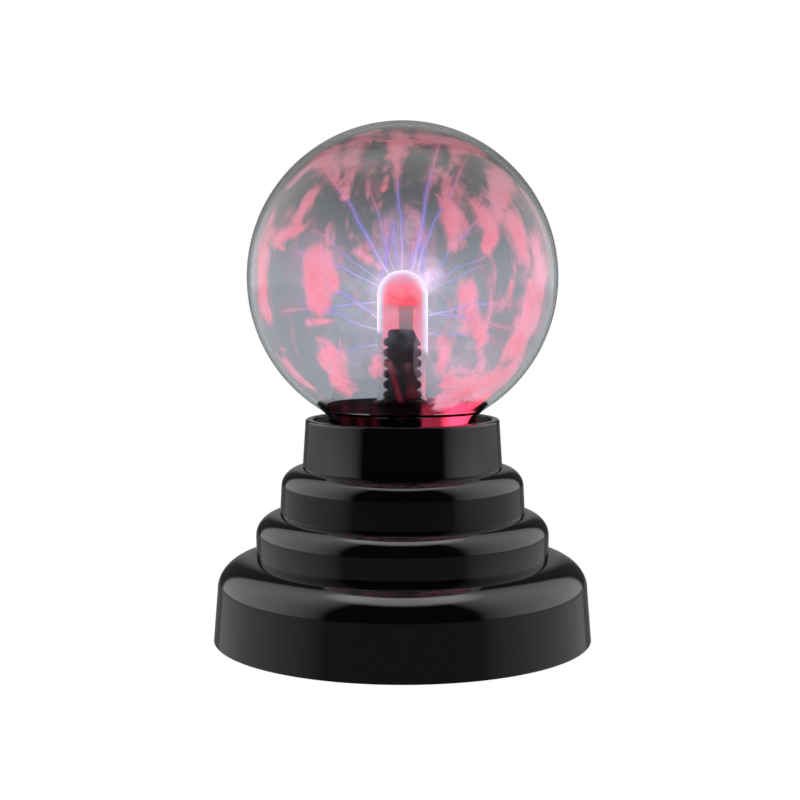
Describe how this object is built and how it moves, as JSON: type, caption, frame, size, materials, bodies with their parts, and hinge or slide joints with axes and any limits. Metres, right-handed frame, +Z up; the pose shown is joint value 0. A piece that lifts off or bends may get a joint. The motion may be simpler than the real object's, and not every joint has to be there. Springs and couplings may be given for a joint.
{
  "type": "plasma ball",
  "caption": "Desk plasma ball: a clear glass globe with a central electrode on a stepped round gloss black base, run from cells or a supply lead.",
  "frame": {"origin": "centre of the surface that the feet stand on, on the globe's axis", "axes": "+Z up along the globe's axis, +Y towards the back, where the switch is, +X to the right seen from the front"},
  "size_m": [0.0984, 0.0984, 0.1343],
  "materials": {
    "clear_glass": "clear blown glass",
    "gloss_black": "gloss",
    "matte_black": "satin",
    "black_foam": "open-cell foam",
    "dark_rubber": "matte",
    "plated_steel": "nickel plated",
    "cap_metal": "satin",
    "cell_wrap": "gloss sleeve",
    "board_laminate": "solder mask",
    "ferrite": "pressed and fired",
    "winding_tape": "tape over copper",
    "aluminium": "extruded",
    "capacitor_sleeve": "shrink sleeve",
    "film_box": "moulded",
    "resistor_body": "lacquer",
    "copper_wire": "enamelled",
    "red_insulation": "satin",
    "black_insulation": "satin",
    "white_silicone": "satin"
  },
  "bodies": {
    "base": {"base_housing": "gloss_black", "globe_seat_ring": "gloss_black", "globe_glass": "clear_glass", "electrode_tube": "clear_glass", "electrode_holder": "gloss_black", "electrode_pin": "plated_steel", "electrode_cap": "cap_metal", "neck_gasket": "dark_rubber", "neck_plug": "black_foam", "bottom_cover": "matte_black", "battery_cell_1": "cell_wrap", "battery_cell_2": "cell_wrap", "battery_cell_3": "cell_wrap", "battery_cell_4": "cell_wrap", "battery_spring_1": "plated_steel", "battery_spring_2": "plated_steel", "battery_spring_3": "plated_steel", "battery_spring_4": "plated_steel", "link_plate_left": "plated_steel", "link_plate_right_1": "plated_steel", "link_plate_right_2": "plated_steel", "terminal_plate_positive": "plated_steel", "terminal_plate_negative": "plated_steel", "foot_back_left": "dark_rubber", "foot_back_right": "dark_rubber", "foot_front_left": "dark_rubber", "foot_front_right": "dark_rubber", "cover_screw_1": "plated_steel", "cover_screw_2": "plated_steel", "cover_screw_3": "plated_steel", "holder_screw_1": "plated_steel", "holder_screw_2": "plated_steel", "holder_screw_3": "plated_steel", "board_screw_1": "plated_steel", "board_screw_2": "plated_steel", "circuit_board": "board_laminate", "transformer_core": "ferrite", "transformer_winding": "winding_tape", "heat_sink": "aluminium", "power_transistor": "matte_black", "filter_capacitor": "capacitor_sleeve", "film_capacitor": "film_box", "timer_chip": "matte_black", "power_resistor": "resistor_body", "choke_coil": "copper_wire", "supply_socket": "matte_black", "supply_socket_pin": "plated_steel", "switch_can": "plated_steel", "high_voltage_lead": "white_silicone", "battery_lead_red": "red_insulation", "battery_lead_black": "black_insulation", "socket_lead_red": "red_insulation", "socket_lead_black": "black_insulation", "switch_lead_1": "red_insulation", "switch_lead_2": "black_insulation"},
    "slider": {"switch_slider": "matte_black"},
    "door": {"battery_door": "matte_black"}
  },
  "joints": [
    {"name": "switch_slide", "type": "slide", "parent": "base", "child": "slider", "axis": [-1, 0, 0], "range_m": [0, 0.004]},
    {"name": "battery_door_tilt", "type": "hinge", "parent": "base", "child": "door", "pos_m": [0, -0.0248, 0.00265], "axis": [-1, 0, 0], "range_deg": [0, 45]}
  ]
}
